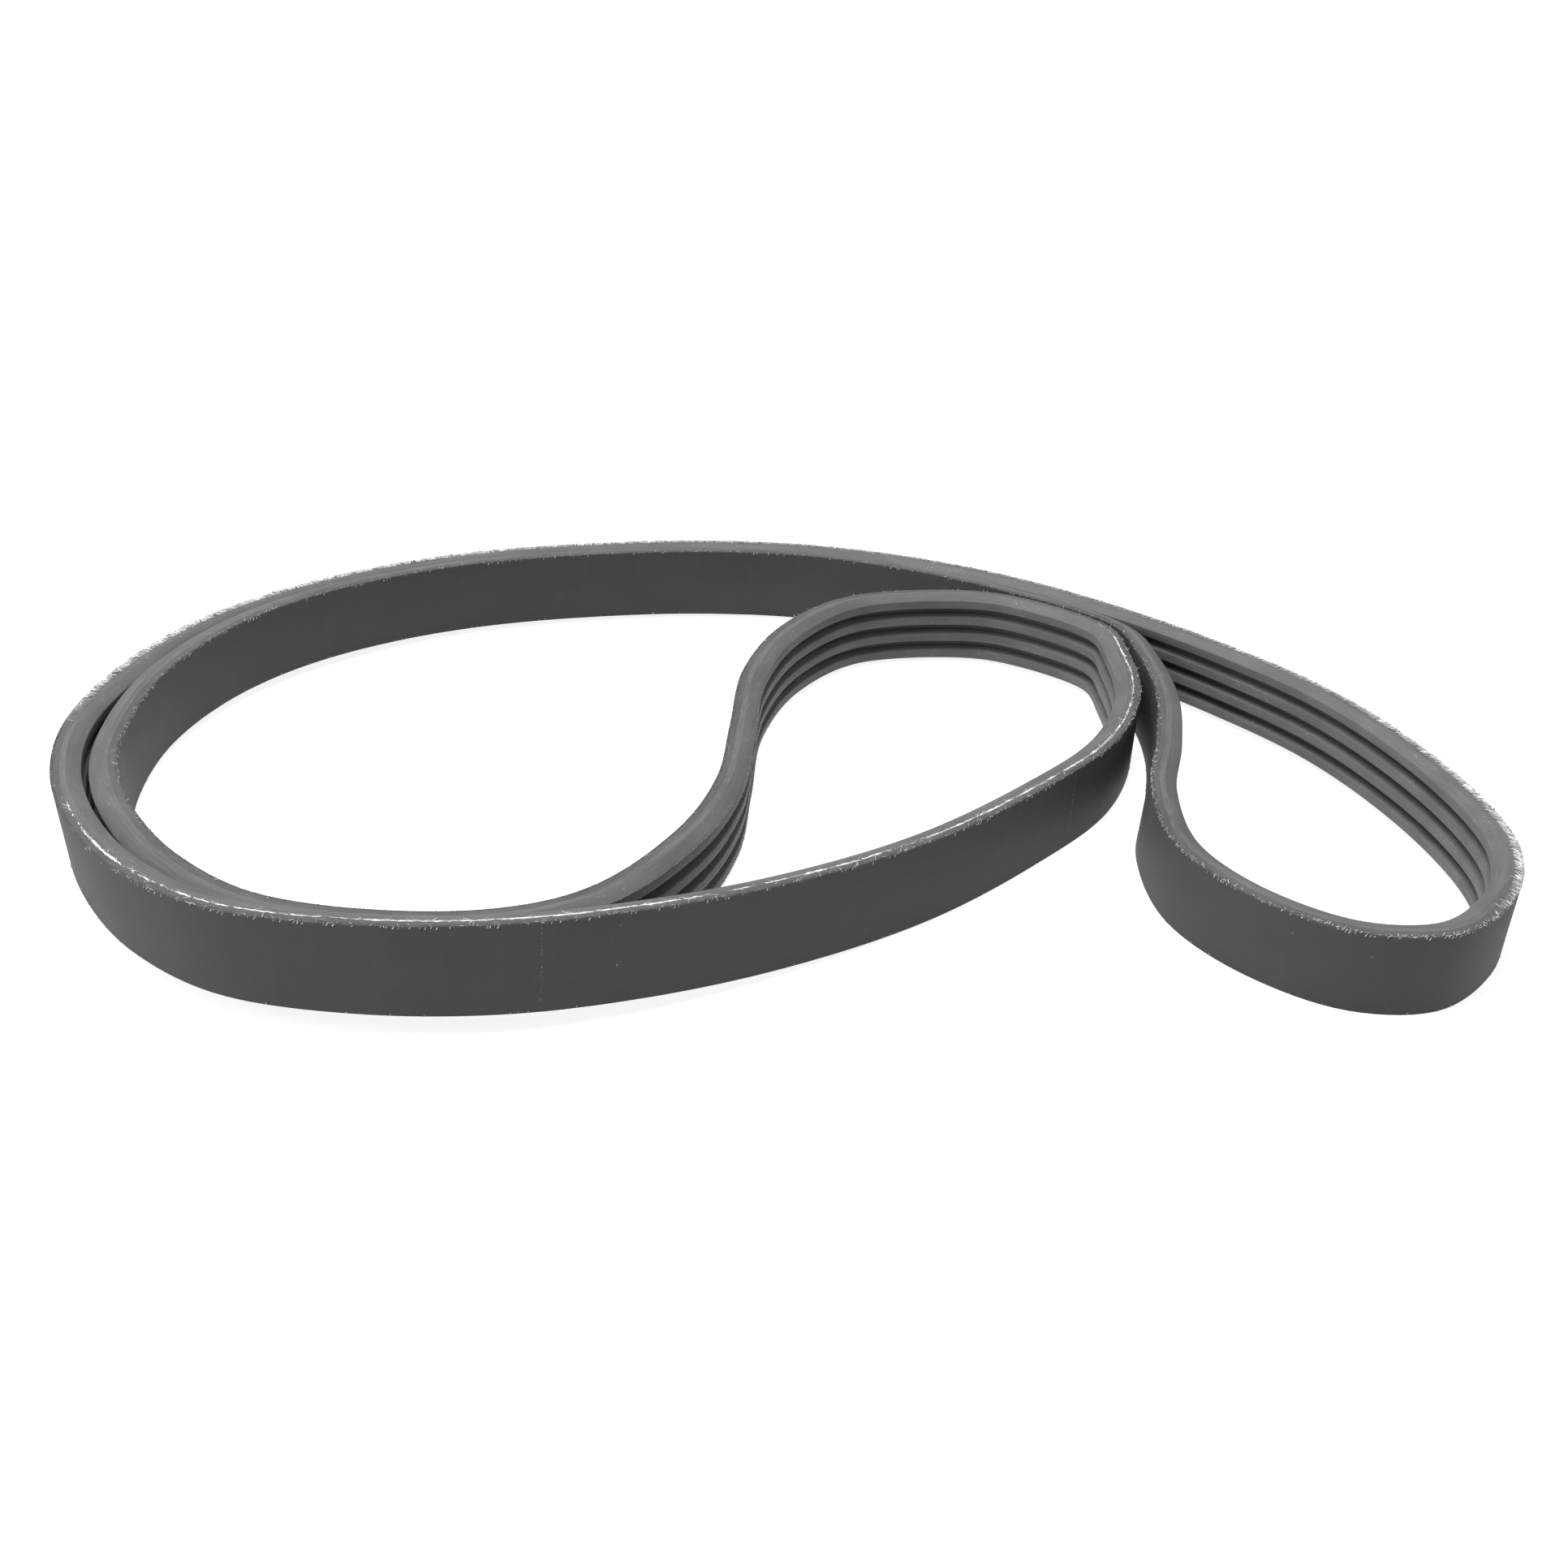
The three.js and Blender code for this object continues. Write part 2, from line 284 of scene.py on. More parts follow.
def closed_curve(points):
    """A closed centripetal Catmull-Rom curve, sampled evenly in its parameter."""
    turn = np.arange(CURVE_SAMPLES) * len(points) / CURVE_SAMPLES
    first = turn.astype(int)
    w = (turn - first)[:, None]
    a, b, c, d = (points[(first + k) % len(points)] for k in (-1, 0, 1, 2))
    ab, bc, cd = (np.linalg.norm(q - p, axis=1, keepdims=True) ** 0.5
                  for p, q in ((a, b), (b, c), (c, d)))
    start = ((b - a) / ab - (c - a) / (ab + bc) + (c - b) / bc) * bc
    end = ((c - b) / bc - (d - b) / (bc + cd) + (d - c) / cd) * bc
    return (b + start * w + (3 * (c - b) - 2 * start - end) * w ** 2
            + (2 * (b - c) + start + end) * w ** 3)


def steps_of(points):
    """Length of each step of a closed line."""
    return np.linalg.norm(np.roll(points, -1, axis=0) - points, axis=1)


class Lay:
    """The route of the belt, and where each point of the straight belt comes to lie."""

    def __init__(self, sizes):
        self.width = sizes.rib_count * sizes.rib_pitch
        self.cord_line = sizes.cover + sizes.backing
        self.valley = self.cord_line + sizes.cushion + sizes.web
        self.thickness = self.valley + sizes.rib_depth
        wanted = sizes.length + 2 * math.pi * self.cord_line
        scale = 1
        for _ in range(8):
            scale *= wanted / steps_of(self.back_edges(scale)[0]).sum()
        feet, heads = self.back_edges(scale)
        up = unit(heads - feet)
        inward = left_of(feet)
        inward = unit(inward - up * (inward * up).sum(axis=1, keepdims=True))
        feet[:, 2] = np.maximum(np.maximum(feet[:, 2], -inward[:, 2] * self.thickness), 0)
        self.up, self.inward = up, inward
        self.feet = feet + self.frame_offset(feet)
        self.along = np.concatenate([[0], np.cumsum(steps_of(self.feet))])
        self.length = self.along[-1]

    def points(self, scale):
        """Places and leans of the lay points, with the free ones scaled about the middle."""
        outer = np.array(BACK_RUN + FRONT_RUN) * MM
        outer[:, :2] *= scale
        side = left_of(outer[:, :3])
        lane = 2 * self.thickness + RIB_CLEARANCE

        def beside(k, distance, lift, lean):
            place = outer[k, :3] + side[k] * distance
            return (place[0], place[1], lift * MM, lean * MM)

        def free(run):
            return [(x * scale * MM, y * scale * MM, lift * MM, lean * MM)
                    for x, y, lift, lean in run]

        contact = [beside(k, lane + BACK_CLEARANCE + further * MM, 0, 0)
                   for k, further in LOOP_CONTACT]
        nested = [beside(k, lane + clear * MM, lift, lean) for k, clear, lift, lean in INNER_RUN]
        table = np.array([*map(tuple, outer), *contact, *free(LOOP_RETURN), *nested,
                          *free(SIDE_LOBE)])
        return table[:, :3], table[:, 3:]

    def back_edges(self, scale):
        """The lower and the upper edge of the smooth back."""
        places, lean = self.points(scale)
        self.point_count = len(places)
        lower = places + left_of(places) * lean
        upper = places + np.array([0, 0, self.width])
        return closed_curve(lower), closed_curve(upper)

    def frame_offset(self, feet):
        """What brings the middle of the belt's outline to the middle of the CAD box."""
        corners = np.concatenate([
            feet + self.inward * depth + self.up * height
            for depth in (0, self.thickness) for height in (0, self.width)
        ])
        low, high = corners.min(axis=0), corners.max(axis=0)
        middle = (CAD_BOX[0] + CAD_BOX[1]) / 2
        self.origin = np.array([middle.x, middle.y, CAD_BOX[0].z])
        self.origin -= np.array([*((low + high) / 2)[:2], low[2]])
        return self.origin

    def around(self, values, distance):
        """Values of the closed line at these distances along it."""
        ring = np.concatenate([values, values[:1]])
        return np.stack([np.interp(distance, self.along, ring[:, k]) for k in range(3)], axis=1)

    def place(self, straight):
        """Where points of the straight belt lie: distance along, depth and height."""
        distance = straight[:, 0] % self.length
        return (self.around(self.feet, distance)
                + unit(self.around(self.inward, distance)) * straight[:, 1:2]
                + unit(self.around(self.up, distance)) * straight[:, 2:3])

    def distance_of(self, point_number):
        """Distance along the belt of a lay point, which may lie between two."""
        sample = np.asarray(point_number, float) * CURVE_SAMPLES / self.point_count
        return np.interp(sample, np.arange(CURVE_SAMPLES + 1), self.along)

    def strength(self, table):
        """A function of distance that passes through a table of point numbers and values."""
        numbers, values = zip(*table)
        places = self.distance_of(numbers)
        return lambda distance: float(np.interp(distance % self.length, places, values))


_lay = {}


def belt_lay():
    """The lay for the sizes that are set now."""
    sizes = bpy.context.scene.belt_sizes
    key = tuple(getattr(sizes, name) for name in BeltSizes.__annotations__)
    if key not in _lay:
        _lay[key] = Lay(sizes)
    return _lay[key]


# ---------------------------------------------------------------------------
# Modelling the straight belt
# ---------------------------------------------------------------------------
def rounded(outline, segments=3):
    """An outline of (depth, height, radius) corners with each corner rounded by an arc."""
    made = []
    for k, (depth, height, radius) in enumerate(outline):
        corner = Vector((depth, height))
        if radius == 0:
            made.append(corner)
            continue
        before = (Vector(outline[k - 1][:2]) - corner).normalized()
        after = (Vector(outline[(k + 1) % len(outline)][:2]) - corner).normalized()
        half = before.angle(after) / 2
        centre = corner + (before + after).normalized() * (radius / math.sin(half))
        start = corner + before * (radius / math.tan(half)) - centre
        end = corner + after * (radius / math.tan(half)) - centre
        for n in range(segments + 1):
            made.append(centre + start.slerp(end, n / segments) * radius)
    return made


def sweep(section, length, step):
    """A tube with this section, straight along X, open at both ends, in steps this long."""
    bm = bmesh.new()
    ring = [bm.verts.new((0, depth, height)) for depth, height in section]
    edges = [bm.edges.new((ring[k - 1], ring[k])) for k in range(len(ring))]
    made = bmesh.ops.extrude_edge_only(bm, edges=edges)["geom"]
    far_end = [g for g in made if isinstance(g, bmesh.types.BMVert)]
    bmesh.ops.translate(bm, verts=far_end, vec=(length, 0, 0))
    long_edges = [e for e in bm.edges if e.calc_length() > length / 2]
    bmesh.ops.subdivide_edges(bm, edges=long_edges, cuts=round(length / step) - 1)
    return bm


def twist(bm, middle, per_metre):
    """Turns a straight strand about its own middle, more and more along its length."""
    for v in bm.verts:
        arm = Vector((0, v.co.y - middle[0], v.co.z - middle[1]))
        arm.rotate(Matrix.Rotation(v.co.x * per_metre, 3, "X"))
        v.co = Vector((v.co.x, middle[0] + arm.y, middle[1] + arm.z))


def displace(bm, offset):
    """Moves each vertex of the straight belt by what offset gives for its place."""
    for v in bm.verts:
        v.co += offset(v.co)


def ripple(place, length, size, seed):
    """A smooth random number from -1 to 1 that closes on itself round the belt."""
    turn = place.x / length * 2 * math.pi
    radius = length / (2 * math.pi * size)
    return noise.noise(Vector((math.cos(turn) * radius, math.sin(turn) * radius,
                               place.y / size + place.z / size + seed)))


def lay_down(bm, closed=True, fray=None):
    """Bends the straight belt to its route, and keeps the straight place for the materials.

    Fray is a function of the distance along, kept for a material that shows frayed ends."""
    lay = belt_lay()
    layer = bm.loops.layers.float_vector.new("belt_place")
    fray_layer = bm.loops.layers.float.new("fray") if fray else None
    for face in bm.faces:
        for loop in face.loops:
            loop[layer] = loop.vert.co
            if fray:
                loop[fray_layer] = fray(loop.vert.co.x)
    straight = np.array([v.co for v in bm.verts])
    for v, place in zip(bm.verts, lay.place(straight)):
        v.co = place
    if closed:
        bmesh.ops.remove_doubles(bm, verts=bm.verts, dist=1e-6)
    bmesh.ops.recalc_face_normals(bm, faces=bm.faces)


def piece(bm, name, material, replaced, crease=35):
    """Makes the object, and hides the CAD nodes it stands in for."""
    for edge in bm.edges:
        edge.smooth = edge.calc_face_angle(0) < math.radians(crease)
    for face in bm.faces:
        face.smooth = True
    mesh = bpy.data.meshes.new(name)
    bm.to_mesh(mesh)
    bm.free()
    made = bpy.data.objects.new(name, mesh)
    bpy.context.scene.collection.objects.link(made)
    mesh.materials.append(material)
    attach(made, BODY)
    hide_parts(*replaced)
    return made


# ---------------------------------------------------------------------------
# Materials
# ---------------------------------------------------------------------------
class Socket:
    """An output socket whose arithmetic adds Math nodes."""

    def __init__(self, finish, socket):
        self.finish = finish
        self.socket = socket

    def maths(self, operation, *others):
        """This socket and others through one Math node."""
        return self.finish.node("ShaderNodeMath", {"operation": operation}, self, *others)

    def __add__(self, other):
        return self.maths("ADD", other)

    def __mul__(self, other):
        return self.maths("MULTIPLY", other)

    def __sub__(self, other):
        return self.maths("SUBTRACT", other)

    def __rsub__(self, other):
        return self.finish.node("ShaderNodeMath", {"operation": "SUBTRACT"}, other, self)

    __radd__ = __add__
    __rmul__ = __mul__


class Finish:
    """A material in the making, with one Principled BSDF."""

    def __init__(self, name):
        self.material = bpy.data.materials.new(name)
        self.material.use_nodes = True
        self.tree = self.material.node_tree
        self.bsdf = self.tree.nodes["Principled BSDF"]
        self.place = self.attribute("belt_place", "Vector")

    def node(self, kind, settings, *inputs, output=0, **named):
        """Adds a node with its settings, and its inputs in order or by name."""
        made = self.tree.nodes.new(kind)
        for key, value in settings.items():
            setattr(made, key, value)
        for key, value in [*enumerate(inputs), *named.items()]:
            socket = made.inputs[key if isinstance(key, int) else key.replace("_", " ")]
            self.feed(socket, value)
        return Socket(self, made.outputs[output])

    def feed(self, socket, value):
        """Links a socket to what feeds it, or sets its value."""
        if isinstance(value, Socket):
            self.tree.links.new(value.socket, socket)
        elif value is not None:
            socket.default_value = value

    def attribute(self, name, output):
        """A value that the mesh carries."""
        return self.node("ShaderNodeAttribute", {"attribute_name": name}, output=output)

    def stretched(self, along, depth, height):
        """The straight place with each direction scaled to pattern units."""
        return self.node("ShaderNodeMapping", {}, Vector=self.place, Scale=(along, depth, height))

    def noise(self, vector, detail=2, roughness=0.5, distortion=0):
        """Noise from 0 to 1, with features one pattern unit across."""
        return self.node("ShaderNodeTexNoise", {}, Vector=vector, Scale=1, Detail=detail,
                         Roughness=roughness, Distortion=distortion)

    def specks(self, vector):
        """Distance to the nearest of points that lie about one pattern unit apart."""
        return self.node("ShaderNodeTexVoronoi", {"feature": "F1"}, Vector=vector, Scale=1,
                         output="Distance")

    def band(self, value, low, high):
        """0 below low, 1 above high and smooth between."""
        return self.node("ShaderNodeMapRange", {"interpolation_type": "SMOOTHSTEP"},
                         Value=value, From_Min=low, From_Max=high)

    def blend(self, factor, first, second):
        """A colour between two."""
        made = self.tree.nodes.new("ShaderNodeMix")
        made.data_type = "RGBA"
        for number, value in ((0, factor), (6, first), (7, second)):
            self.feed(made.inputs[number], value)
        return Socket(self, made.outputs[2])

    def axis(self, name):
        """Distance along, depth or height of the straight place, named X, Y or Z."""
        return self.node("ShaderNodeSeparateXYZ", {}, self.place, output=name)

    def relief(self, height, distance):
        """A bump of this height for the surface."""
        bump = self.node("ShaderNodeBump", {}, Strength=1.0, Distance=distance, Height=height)
        self.feed(self.bsdf.inputs["Normal"], bump)

    def done(self, colour, roughness, specular=0.35):
        """Feeds the shader, and gives the material."""
        self.feed(self.bsdf.inputs["Base Color"], colour)
        self.feed(self.bsdf.inputs["Roughness"], roughness)
        self.bsdf.inputs["Specular IOR Level"].default_value = specular
        return self.material


def shade(colour, factor):
    """A colour made darker or lighter."""
    return tuple(min(1, c * factor) for c in colour[:3]) + (1.0,)


def cover_cloth(colours, lay):
    """Rubbered cloth: a fine twill under a skin of rubber, mottled, paler where it wears."""
    f = Finish("rubbered_cloth")
    warp, weft = (
        f.node("ShaderNodeTexWave", {"wave_type": "BANDS", "bands_direction": "X"},
               Vector=f.node("ShaderNodeMapping", {}, Vector=f.place,
                             Rotation=(0, angle, 0), Scale=(TWILL_SCALE,) * 3),
               Scale=1, Distortion=0.6, Detail=1)
        for angle in (TWILL_ANGLE, -TWILL_ANGLE)
    )
    grain = f.noise(f.stretched(2600, 2600, 2600), detail=3)
    mottle = f.noise(f.stretched(70, 70, 110), detail=4, roughness=0.6)
    streaks = f.noise(f.stretched(420, 420, 40), detail=2)
    skin = f.band(mottle, 0.35, 0.7)
    height = f.axis("Z")
    worn = f.band(height, lay.width - 0.45 * MM, lay.width)
    worn = worn * f.band(f.noise(f.stretched(900, 900, 900), detail=3), 0.4, 0.75)
    tone = f.blend(skin, shade(colours.cover, 0.9), shade(colours.cover, 1.08))
    tone = f.blend(f.band(streaks, 0.45, 0.8) * 0.18, tone, shade(colours.cover, 1.3))
    tone = f.blend(f.band(grain, 0.5, 0.9) * 0.5, tone, shade(colours.cover, 1.5))
    tone = f.blend(worn * 0.6, tone, shade(colours.cover, 2.4))
    frayed = f.attribute("fray", "Fac")
    ends = f.band(f.noise(f.stretched(1500, 300, 300), detail=2), 0.34, 0.52)
    ends = ends * frayed * f.band(height, lay.width - 0.3 * MM, lay.width - 0.06 * MM)
    tone = f.blend(ends * 0.9, tone, shade(colours.cord, 0.8))
    specks = f.specks(f.stretched(330, 330, 330))
    rare = f.band(f.noise(f.stretched(45, 45, 60), detail=1), 0.62, 0.75)
    tone = f.blend((1 - f.band(specks, 0.03, 0.07)) * rare * 0.4, tone, shade(colours.cord, 0.6))
    f.relief(warp * 0.5 + weft * 0.5 + grain * 0.4 + mottle * 0.8, 0.02 * MM)
    return f.done(tone, f.band(mottle, 0.2, 0.9) * 0.15 + 0.62, specular=0.3)


def cut_rubber(colours, tone_colour, name):
    """Rubber where the knife went: torn grain, drag marks along the cut, pale fibre ends."""
    f = Finish(name)
    drag = f.noise(f.stretched(300, 2500, 2500), detail=3, roughness=0.6)
    grain = f.noise(f.stretched(1800, 2600, 2600), detail=3)
    cloudy = f.noise(f.stretched(60, 200, 200), detail=3)
    fibres = f.specks(f.stretched(900, 2600, 2600))
    tone = f.blend(f.band(cloudy, 0.3, 0.7), shade(tone_colour, 0.82), shade(tone_colour, 1.12))
    tone = f.blend(f.band(drag, 0.42, 0.75) * 0.5, tone, shade(tone_colour, 1.6))
    tone = f.blend((1 - f.band(fibres, 0.08, 0.2)) * f.band(grain, 0.5, 0.6) * 0.55, tone,
                   shade(colours.cord, 0.42))
    frayed = f.attribute("fray", "Fac")
    pulled = f.band(f.noise(f.stretched(1700, 160, 160), detail=2), 0.36, 0.6)
    pulled = pulled * frayed * (1 - f.band(f.axis("Y"), 0.6 * MM, 2.2 * MM))
    tone = f.blend(pulled, tone, shade(colours.cord, 0.6))
    f.relief(drag * 0.7 + grain * 0.6, 0.06 * MM)
    return f.done(tone, f.band(grain, 0.2, 0.8) * 0.2 + 0.62)


def rib_rubber(colours, lay):
    """Ground rib rubber: fine lines along the belt, chopped fibres, dusty flanks, and painted shade
    in the valleys between the ribs.
    """
    f = Finish("ground_rib_rubber")
    lines = f.noise(f.stretched(120, 3200, 3200), detail=3, roughness=0.6)
    grain = f.noise(f.stretched(2200, 2200, 2200), detail=3)
    cloudy = f.noise(f.stretched(90, 260, 260), detail=3)
    fibres = f.specks(f.stretched(700, 1500, 1500))
    depth = f.axis("Y")
    height = f.axis("Z")
    # Painted valley shade: the rubber is darkened from the valley floor to 0.75 mm above it, except
    # within about a millimetre of the cut edges.
    valley_shade_span = f.band(height, 0.6 * MM, 1.1 * MM)
    valley_shade_span = valley_shade_span * (1 - f.band(height, lay.width - 1.1 * MM, lay.width - 0.6 * MM))
    painted_valley_shade = (1 - f.band(depth, lay.valley, lay.valley + 0.75 * MM)) * valley_shade_span
    tone = f.blend(f.band(cloudy, 0.3, 0.7), shade(colours.ribs, 0.88), shade(colours.ribs, 1.12))
    tone = f.blend(f.band(lines, 0.45, 0.8) * 0.5, tone, shade(colours.ribs, 1.5))
    tone = f.blend((1 - f.band(fibres, 0.07, 0.2)) * f.band(cloudy, 0.45, 0.6) * 0.5, tone,
                   shade(colours.cord, 0.45))
    # Painted shade: the valleys and the lower flanks beside them take a much darker rib colour.
    tone = f.blend(painted_valley_shade * 0.7, tone, shade(colours.ribs, 0.45))
    f.relief(lines * 0.6 + grain * 0.5, 0.05 * MM)
    return f.done(tone, f.band(grain, 0.2, 0.8) * 0.15 + 0.6)


def cord_yarn(colours):
    """White polyester yarn, smeared with rubber by the knife."""
    f = Finish("cord_yarn")
    smear = f.noise(f.stretched(420, 1500, 1500), detail=3, roughness=0.6)
    long_smear = f.noise(f.stretched(70, 100, 100), detail=3, roughness=0.6)
    filaments = f.noise(f.stretched(900, 9000, 9000), detail=2)
    tone = f.blend(f.band(filaments, 0.3, 0.7), shade(colours.cord, 0.72), shade(colours.cord, 1.1))
    dirt = f.band(smear * 0.6 + long_smear * 0.4, 0.47, 0.58)
    tone = f.blend(dirt * 0.85, tone, shade(colours.cushion, 1.5))
    f.relief(filaments, 0.05 * MM)
    return f.done(tone, 0.75, specular=0.25)


def frayed_thread(colours, name, paleness):
    """Loose thread ends, some cleaner than others."""
    f = Finish(name)
    dust = f.noise(f.stretched(500, 500, 500), detail=2)
    tone = f.blend(f.band(dust, 0.3, 0.7), shade(colours.cord, paleness * 0.45),
                   shade(colours.cord, paleness))
    return f.done(tone, 0.8, specular=0.2)


def bench_top(colours):
    """Plain pale bench that glows evenly."""
    material = bpy.data.materials.new("bench_top")
    material.use_nodes = True
    bsdf = material.node_tree.nodes["Principled BSDF"]
    bsdf.inputs["Base Color"].default_value = shade(colours.floor, 1)
    bsdf.inputs["Roughness"].default_value = 0.9
    bsdf.inputs["Specular IOR Level"].default_value = 0.1
    bsdf.inputs["Emission Color"].default_value = (1, 1, 1, 1)
    bsdf.inputs["Emission Strength"].default_value = BENCH_GLOW
    return material


# ---------------------------------------------------------------------------
# Layers
# ---------------------------------------------------------------------------
def layer_outline(near, far, width, near_radius, far_radius):
    """A flat layer between two depths over the whole width."""
    return rounded([(near, 0, near_radius), (far, 0, far_radius),
                    (far, width, far_radius), (near, width, near_radius)])


def bedded_outline(near, far, grooved, sizes, lay):
    """A layer whose side at depth grooved is hollowed for each turn of cord but the outermost two.
    """
    radius = sizes.cord / 2
    sign = -1 if grooved == far else 1
    side = []
    for turn in range(1, sizes.cord_turns - 1):
        height = cord_height(turn, sizes, lay)
        for n in range(7):
            angle = math.pi * n / 6
            side.append((grooved + sign * radius * math.sin(angle),
                         height - radius * math.cos(angle)))
    corners = [(grooved, 0), *side, (grooved, lay.width)]
    plain = [(near if grooved == far else far, lay.width), (near if grooved == far else far, 0)]
    return corners + plain


def cord_height(turn, sizes, lay):
    """Height of a turn of cord, counted from 0 at the lower cut edge."""
    radius = sizes.cord / 2
    return radius + (lay.width - 2 * radius) * turn / (sizes.cord_turns - 1)


def knife_wander(lay, amount, seed):
    """How the slitting knife wandered: both cut edges move in or out a little."""
    def offset(place):
        side = (place.z - lay.width / 2) / (lay.width / 2)
        near_edge = max(0, abs(side) - 0.97) / 0.03
        push = amount * near_edge * ripple(place, lay.length, 6 * MM, seed)
        fine = 0.4 * amount * near_edge * ripple(place, lay.length, 1.6 * MM, seed + 7)
        return Vector((0, 0, math.copysign(push + fine, side) if side else 0))
    return offset


class BeltStep(bpy.types.Operator):
    """Shared set-up of the belt's operators"""

    bl_options = {"REGISTER", "UNDO"}

    @property
    def sizes(self):
        return bpy.context.scene.belt_sizes

    @property
    def colours(self):
        return bpy.context.scene.belt_colours


class BELT_OT_cover(BeltStep):
    """Woven cover on the smooth back"""

    bl_idname = "belt.cover"
    bl_label = "Woven back cover"

    def execute(self, context):
        sizes, lay = self.sizes, belt_lay()
        outline = layer_outline(0, sizes.cover, lay.width, BACK_RADIUS, BOND_RADIUS)
        bm = sweep(outline, lay.length, sizes.step)
        displace(bm, knife_wander(lay, COVER_WANDER, 3))
        lay_down(bm, fray=lay.strength(EDGE_THREADS))
        piece(bm, "woven_back_cover", cover_cloth(self.colours, lay),
              ["back_cover"])
        return {"FINISHED"}


class BELT_OT_backing(BeltStep):
    """Backing rubber, hollowed for the cords on its inner side"""

    bl_idname = "belt.backing"
    bl_label = "Backing rubber"

    def execute(self, context):
        sizes, lay = self.sizes, belt_lay()
        outline = bedded_outline(sizes.cover, lay.cord_line, lay.cord_line, sizes, lay)
        bm = sweep(outline, lay.length, sizes.step)
        displace(bm, knife_wander(lay, RUBBER_WANDER, 11))
        lay_down(bm, fray=lay.strength(EDGE_THREADS))
        piece(bm, "backing_layer", cut_rubber(self.colours, self.colours.backing, "cut_backing"),
              ["backing_rubber"])
        return {"FINISHED"}


class BELT_OT_cushion(BeltStep):
    """Bedding rubber under the cords, hollowed on its outer side"""

    bl_idname = "belt.cushion"
    bl_label = "Cushion rubber"

    def execute(self, context):
        sizes, lay = self.sizes, belt_lay()
        far = lay.cord_line + sizes.cushion
        outline = bedded_outline(lay.cord_line, far, lay.cord_line, sizes, lay)
        bm = sweep(outline, lay.length, sizes.step)
        displace(bm, knife_wander(lay, RUBBER_WANDER, 23))
        lay_down(bm)
        piece(bm, "cushion_layer", cut_rubber(self.colours, self.colours.cushion, "cut_cushion"),
              ["cushion_rubber"])
        return {"FINISHED"}


class BELT_OT_ribs(BeltStep):
    """Ribbed layer with ground flanks, rounded crests and filleted valleys"""

    bl_idname = "belt.ribs"
    bl_label = "Ribbed rubber"

    def execute(self, context):
        sizes, lay = self.sizes, belt_lay()
        near = lay.cord_line + sizes.cushion
        half_crest = sizes.rib_crest / 2
        half_foot = half_crest + sizes.rib_depth * math.tan(sizes.rib_angle / 2)
        # The knife leaves no ledge beside the edge ribs: their flanks run out to the cut.
        shoulder = near + SHOULDER
        outline = [(near, 0, 0), (shoulder, 0, SHOULDER_RADIUS)]
        for rib in range(sizes.rib_count):
            middle = (rib + 0.5) * sizes.rib_pitch
            if rib > 0:
                outline.append((lay.valley, middle - half_foot, VALLEY_RADIUS))
            outline.append((lay.thickness, middle - half_crest, CREST_RADIUS))
            outline.append((lay.thickness, middle + half_crest, CREST_RADIUS))
            if rib < sizes.rib_count - 1:
                outline.append((lay.valley, middle + half_foot, VALLEY_RADIUS))
        outline += [(shoulder, lay.width, SHOULDER_RADIUS), (near, lay.width, 0)]
        bm = sweep(rounded(outline, segments=2), lay.length, sizes.step)
        displace(bm, knife_wander(lay, RUBBER_WANDER, 31))

        def grinding(place):
            lift = max(0, place.y - lay.valley) / sizes.rib_depth
            return Vector((0, 0.02 * MM * lift * ripple(place, lay.length, 9 * MM, 41), 0))

        displace(bm, grinding)
        lay_down(bm)
        piece(bm, "ribbed_layer", rib_rubber(self.colours, lay), ["ribbed_rubber"])
        return {"FINISHED"}


class BELT_OT_cords(BeltStep):
    """Turns of twisted tension cord; the outermost two are cut open by the knife"""

    bl_idname = "belt.cords"
    bl_label = "Tension cords"

    def execute(self, context):
        sizes, lay = self.sizes, belt_lay()
        yarn = cord_yarn(self.colours)
        radius = sizes.cord / 2
        bare = lay.strength(CORD_BARE)
        for turn in range(sizes.cord_turns):
            height = cord_height(turn, sizes, lay)
            edge = turn in (0, sizes.cord_turns - 1)
            sides, lobe = CUT_TURN if edge else WHOLE_TURN
            section = []
            for n in range(sides):
                angle = 2 * math.pi * n / sides
                reach = radius * (1 - lobe + lobe * math.cos(3 * angle))
                section.append((lay.cord_line + reach * math.cos(angle),
                                height + reach * math.sin(angle)))
            bm = sweep(section, lay.length, CUT_TURN_STEP if edge else sizes.step)
            turns = round(lay.length / TWIST_LENGTH)
            twist(bm, (lay.cord_line, height), 2 * math.pi * turns / lay.length)
            if edge:
                upper = turn > 0

                def cut(place):
                    shown = bare(place.x) if upper else 0.4 * math.sin(
                        2 * math.pi * place.x / lay.length)
                    shown += 0.5 * ripple(Vector((place.x, 0, 0)), lay.length, 11 * MM, 5 + turn)
                    shown += 0.5 * ripple(Vector((place.x, 0, 0)), lay.length, 3 * MM, 15 + turn)
                    rise = radius * min(1, shown) + radius * 0.1
                    aside = 0.12 * MM * ripple(Vector((place.x, 0, 0)), lay.length, 4 * MM, 77)
                    if not upper:
                        return Vector((0, aside, max(-rise, -place.z - 0.02 * MM)))
                    limit = lay.width + 0.05 * MM - place.z
                    return Vector((0, aside, min(rise, limit)))

                displace(bm, cut)
            lay_down(bm)
            node = f"cord_turn_{turn + 1:02d}"
            piece(bm, f"twisted_{node}", yarn, [node], crease=80)
        return {"FINISHED"}


